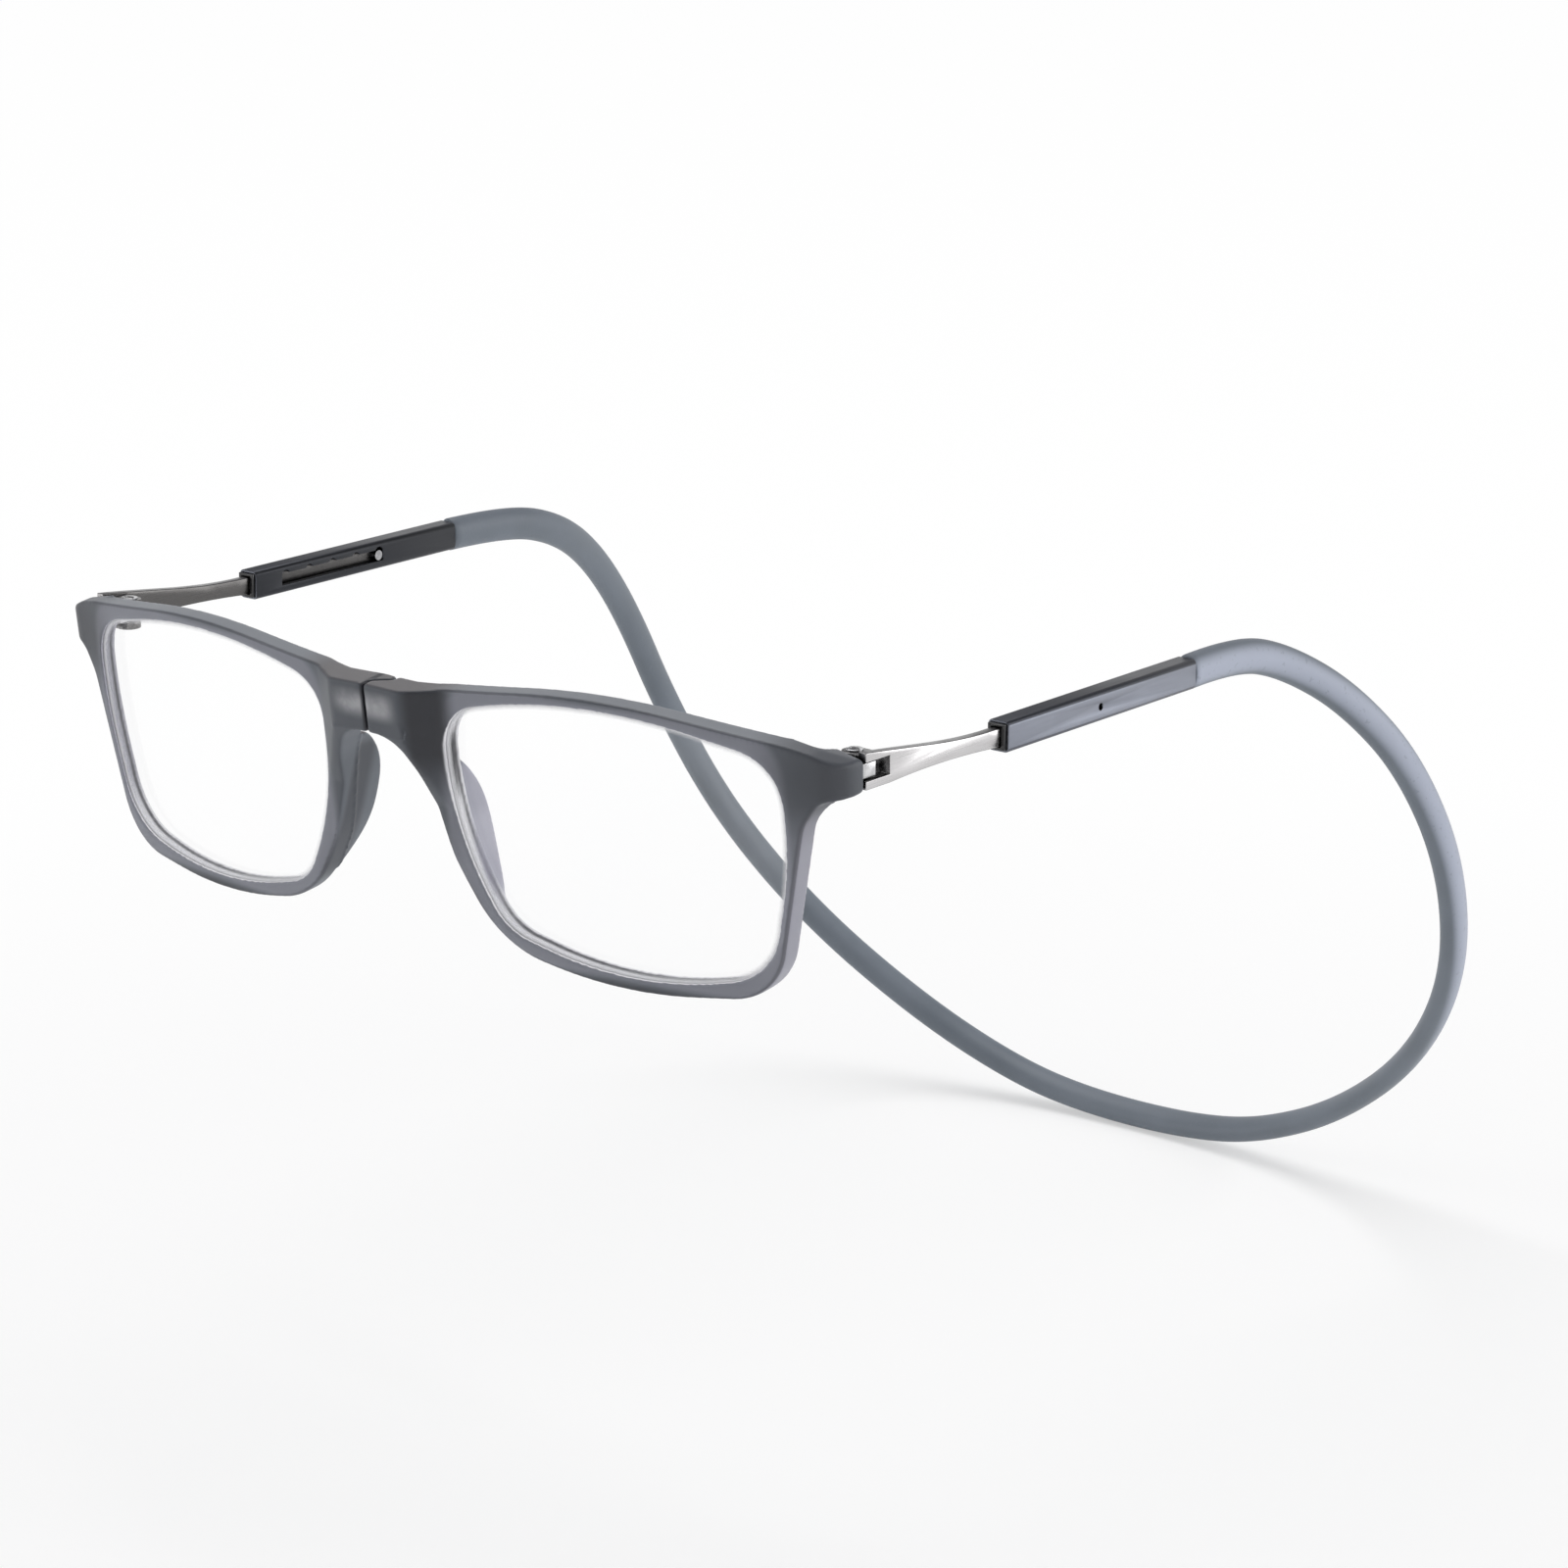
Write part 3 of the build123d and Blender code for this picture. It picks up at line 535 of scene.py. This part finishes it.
bar_steel, tree, shader = new_material("bar_steel", Metallic=1.0)
scratches = brush(tree)
shade = place_group(tree, arm_shading, Recess=2.2 * mm)
cloud = place_group(tree, surface_grain, Grain=6000.0, Cloud=140.0)["Cloud"]
edge = place_group(tree, edge_wear_and_painted_light, Width=0.2 * mm, Patch=90.0)["Edge"]
turned_edge_shade = fade(tree, maths(tree, "ABSOLUTE", parts(tree, "Normal")[2]), 0.2, 0.6, 0.8)
# Painted shade darkens the inner side, the turned edges and the recesses such as the fork's
# window.
colour = layers(
    tree, tint(tree, scratches, (0.5, 0.49, 0.495), (0.66, 0.65, 0.655)),
    (product(tree, cloud, 0.2), (0.5, 0.49, 0.49)),
    (product(tree, shade["Inner Side"], 0.92), (0.075, 0.072, 0.07)),
    (maths(tree, "MAXIMUM", turned_edge_shade, edge), (0.09, 0.088, 0.09)),
    (shade["Recess"], (0.008, 0.008, 0.009)))
dress(tree, shader, colour, scratches, (0.2, 0.18), scratches, (0.01 * mm, 0.25))
for side in sides:
    add_piece(side + "_temple_bar", 0.12 * mm, bar_steel)


# Hinges: a leaf with its barrel, anchored in the endpiece, and a slotted screw
# that pins it in the bar's fork. Polished steel, with painted shade where light
# can't reach.
hinge_steel, tree, shader = new_material("hinge_steel", Metallic=1.0)
shade = place_group(tree, arm_shading, Recess=1.2 * mm)
grain = place_group(tree, surface_grain, Grain=5200.0, Cloud=700.0)
edge = place_group(tree, edge_wear_and_painted_light, Width=0.15 * mm, Patch=1200.0)["Edge"]
colour = layers(
    tree, tint(tree, grain["Cloud"], (0.55, 0.55, 0.56), (0.68, 0.68, 0.69)),
    (product(tree, edge, 0.5), (0.82, 0.82, 0.83)), (shade["Recess"], (0.012, 0.012, 0.013)))
dress(tree, shader, colour, grain["Cloud"], (0.16, 0.1), grain["Height"], (0.01 * mm, 0.2))

screw_axis, hollow_shade_edge, hollow_shade_middle = Vector((65.3, 15.8, 0)) * mm, 0.72 * mm, 0.6 * mm
screw_steel, tree, shader = new_material("screw_steel", Metallic=1.0)
x, y, _ = parts(tree, "Object")
from_axis = distance(
    tree, add_node(tree, "CombineXYZ", (maths(tree, "ABSOLUTE", x), y, 0.0))[0], screw_axis)
turning = noise(tree, add_node(tree, "CombineXYZ", (from_axis, 0.0, 0.0))[0], 9000.0, 2.0)
cloud = place_group(tree, surface_grain, Grain=5200.0, Cloud=900.0)["Cloud"]
# The screw's hollow centre is painted dark as shade.
colour = layers(
    tree, tint(tree, turning, (0.52, 0.52, 0.53), (0.72, 0.72, 0.73)),
    (fade(tree, from_axis, hollow_shade_edge, hollow_shade_middle, 0.9), (0.03, 0.03, 0.032)),
    (product(tree, cloud, 0.2), (0.35, 0.35, 0.36)))
dress(tree, shader, colour, turning, (0.15, 0.15), turning, (0.01 * mm, 0.3))
for side in sides:
    add_piece(side + "_hinge_leaf", 0.1 * mm, hinge_steel)
    add_piece(side + "_hinge_screw", 0.08 * mm, screw_steel)
    refinish(side + "_hinge_anchor", hinge_steel)


# Detents: a bright stud on each bar that clicks into the notches of its sleeve,
# pressed into them by a leaf spring of blued strip.
stud_steel = grained(
    "stud_steel", ((0.3, 0.3, 0.31), (0.4, 0.4, 0.41)), (0.55, 0.55, 0.56),
    grain=(5200.0, 1500.0), edge=(0.15, 1500.0), roughness=(0.1, 0.08), relief=(0.005, 0.2),
    Metallic=1.0)

spring_steel, tree, shader = new_material("spring_steel", Metallic=1.0)
scratches = brush(tree)
recess_shade = place_group(tree, arm_shading, Recess=2.0 * mm)["Recess"]
# Painted shade darkens the spring where it lies in recesses.
colour = layers(
    tree, tint(tree, scratches, (0.12, 0.12, 0.14), (0.2, 0.2, 0.23)),
    (recess_shade, (0.01, 0.01, 0.012)))
dress(tree, shader, colour, scratches, (0.25, 0.2), scratches, (0.008 * mm, 0.25))
for side in sides:
    refinish(side + "_detent_stud", stud_steel)
    refinish(side + "_detent_spring", spring_steel)


# Sleeves: drawn tubes with a satin slate finish, through which the bars slide.
# The inner wall has a notched slot and the outer one a small viewing hole, and
# all that lies behind them is painted dark as shade.
sleeve_paint, tree, shader = new_material("sleeve_paint", Metallic=0.75)
scratches = brush(tree, spread=(3600, 200, 3600))
shade = place_group(tree, arm_shading, Recess=1.6 * mm)
cloud = place_group(tree, surface_grain, Grain=5000.0, Cloud=110.0)["Cloud"]
edge = place_group(tree, edge_wear_and_painted_light, Width=0.25 * mm, Patch=90.0)["Edge"]
facing_z = parts(tree, "Normal")[2]
sleeve_shade = (0.04, 0.042, 0.05)
# Painted shade darkens the top, the inner side, the underside, the edges and the recesses.
colour = layers(
    tree, tint(tree, scratches, (0.24, 0.255, 0.30), (0.31, 0.33, 0.385)),
    (product(tree, cloud, 0.25), (0.2, 0.21, 0.25)),
    (fade(tree, facing_z, 0.06, 0.35, 0.92), (0.032, 0.034, 0.041)),
    (product(tree, shade["Inner Side"], 0.95), (0.018, 0.019, 0.022)),
    (fade(tree, facing_z, -0.06, -0.35, 0.7), sleeve_shade),
    (product(tree, edge, 0.9), sleeve_shade), (shade["Recess"], (0.006, 0.006, 0.007)))
dress(tree, shader, colour, scratches, (0.32, 0.16), scratches, (0.01 * mm, 0.2))
for side in sides:
    add_piece(side + "_sleeve", 0.1 * mm, sleeve_paint)


# Bushes and band plugs: a glossy black liner that guides the bar at the
# sleeve's mouth, and a barbed plug that the band is pushed over.
bush_black = grained(
    "bush_black", ((0.005, 0.005, 0.006), (0.011, 0.011, 0.012)), (0.03, 0.03, 0.033),
    grain=(4000.0, 500.0), edge=(0.2, 900.0), roughness=(0.1, 0.08), relief=(0.008, 0.15),
    edge_share=0.5, Specular_IOR_Level=0.6)
plug_plastic = grained(
    "plug_plastic", ((0.42, 0.42, 0.42), (0.52, 0.52, 0.51)), (0.6, 0.6, 0.59),
    grain=(3500.0, 400.0), edge=(0.2, 900.0), roughness=(0.45, 0.1), relief=(0.02, 0.25))
for side in sides:
    add_piece(side + "_sleeve_bush", 0.1 * mm, bush_black)
    refinish(side + "_band_plug", plug_plastic)


# Neck band: one moulding of soft grey-blue elastomer, oval in section. Each half
# runs from the nape out to its arm, and its end is a socket pushed over the
# sleeve's plug.
band_width, band_height, end_round = 3.6 * mm, 5.0 * mm, 0.3 * mm
socket_radius, socket_depth = 1.25 * mm, 8.1 * mm
ring_points, sharp_seam = 40, radians(50)
band_start = Vector((68.2, 85.2, 13.8)) * mm
band_reach, band_drop = 89.6 * mm, 103.1 * mm
# The route's points, as shares of the start's distance across, of the reach
# rearwards and of the drop.
band_shares = [
    (1.0, 0.0, 0.0), (0.990, 0.143, 0.001), (0.993, 0.277, -0.031),
    (1.040, 0.411, -0.101), (1.088, 0.545, -0.217), (1.106, 0.665, -0.386),
    (1.040, 0.775, -0.580), (0.868, 0.873, -0.754), (0.616, 0.950, -0.892),
    (0.358, 0.989, -0.974), (0.141, 1.0, -1.0), (0.0, 1.0, -1.0)]
route = bpy.data.curves.new("band_route", "CURVE")
route.dimensions = "3D"
route.resolution_u = 16
spline = route.splines.new("NURBS")
spline.points.add(len(band_shares) - 1)
for point, (sideways, rearward, rise) in zip(spline.points, band_shares):
    point.co = (
        sideways * band_start.x, band_start.y + rearward * band_reach,
        band_start.z + rise * band_drop, 1)
spline.order_u = 3
spline.use_endpoint_u = True
route_object = bpy.data.objects.new("band_route", route)
line_mesh = bpy.data.meshes.new_from_object(route_object)
centre_line = [vertex.co.copy() for vertex in line_mesh.vertices]
bpy.data.objects.remove(route_object)

band_rubber, tree, shader = new_material(
    "band_rubber", Specular_IOR_Level=0.45, Sheen_Weight=0.08, Sheen_Roughness=0.4)
grain = place_group(tree, surface_grain, Grain=2600.0, Cloud=55.0)
edge = place_group(tree, edge_wear_and_painted_light, Width=0.3 * mm, Patch=400.0)["Edge"]
specks = noise(tree, add_node(tree, "TexCoord")["Object"], 1400.0, 2.0)
x, _, z = parts(tree, "Object")
facing_x, _, facing_z = parts(tree, "Normal")
lit_outer_face = fade(tree, product(tree, facing_x, maths(tree, "SIGN", x)), 0.6, 1.05)
shaded_upper_face = product(tree, fade(tree, facing_z, 0.1, 0.9, 0.5), fade(tree, z, 0.0, 8 * mm))
socket_edge = product(tree, edge, fade(tree, maths(tree, "ABSOLUTE", x), 10 * mm, 20 * mm, 0.3))
# Painted light brightens the side that faces outwards and painted shade darkens the upper face.
colour = layers(
    tree, tint(tree, grain["Cloud"], (0.138, 0.161, 0.190), (0.165, 0.19, 0.224)),
    (lit_outer_face, (0.42, 0.455, 0.55)), (shaded_upper_face, (0.12, 0.135, 0.16)),
    (fade(tree, specks, 0.62, 0.72, 0.35), (0.17, 0.19, 0.225)),
    (socket_edge, (0.34, 0.37, 0.42)))
dress(tree, shader, colour, grain["Cloud"], (0.46, 0.1), grain["Height"], (0.05 * mm, 0.45))


def carry_on(shape, ring, matrix):
    """Extrudes an open ring of edges and moves its new end by the matrix."""
    grown = bmesh.ops.extrude_edge_only(shape, edges=ring)["geom"]
    verts = [item for item in grown if isinstance(item, bmesh.types.BMVert)]
    bmesh.ops.transform(shape, matrix=matrix, verts=verts)
    return [item for item in grown if isinstance(item, bmesh.types.BMEdge)
            and all(vert in verts for vert in item.verts)]


move, last = Matrix.Translation, len(centre_line) - 1
lay_back = Matrix.Rotation(-pi / 2, 4, "X")
widen = Matrix.Diagonal((
    (band_width / 2 - end_round) / socket_radius, 1,
    (band_height / 2 - end_round) / socket_radius, 1))
ease = Matrix.Diagonal((
    band_width / (band_width - 2 * end_round), 1, band_height / (band_height - 2 * end_round), 1))
rounded_start = Vector((0, end_round, 0))
for side, sign in sides.items():
    shape = bmesh.new()
    bmesh.ops.create_circle(shape, cap_ends=True, segments=ring_points, radius=socket_radius)
    bmesh.ops.transform(
        shape, matrix=move(band_start + Vector((0, socket_depth, 0))) @ lay_back,
        verts=shape.verts)
    ring = carry_on(shape, list(shape.edges), move((0, -socket_depth, 0)))
    ring = carry_on(shape, ring, move(band_start) @ widen @ move(-band_start))
    ring = carry_on(
        shape, ring, move(rounded_start) @ move(band_start) @ ease @ move(-band_start))
    for place in range(1, last + 1):
        here, there = centre_line[place - 1], centre_line[place]
        before = there - centre_line[max(place - 2, 0)]
        after = centre_line[min(place + 1, last)] - here
        turn = before.rotation_difference(after).to_matrix().to_4x4()
        start = here + rounded_start if place == 1 else here
        ring = carry_on(shape, ring, move(there) @ turn @ move(-start))
    bmesh.ops.contextual_create(shape, geom=ring)
    if sign < 0:
        bmesh.ops.scale(shape, vec=(-1, 1, 1), verts=shape.verts)
    for face in shape.faces:
        face.smooth = True
    bmesh.ops.recalc_face_normals(shape, faces=shape.faces)
    for seam in shape.edges:
        seam.smooth = seam.calc_face_angle(0) < sharp_seam
    mesh = bpy.data.meshes.new(f"neck_band_{side}")
    shape.to_mesh(mesh)
    shape.free()
    half = bpy.data.objects.new(f"neck_band_{side}", mesh)
    scene.collection.objects.link(half)
    half.data.materials.append(band_rubber)
    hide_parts("neck_band")
    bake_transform(half)
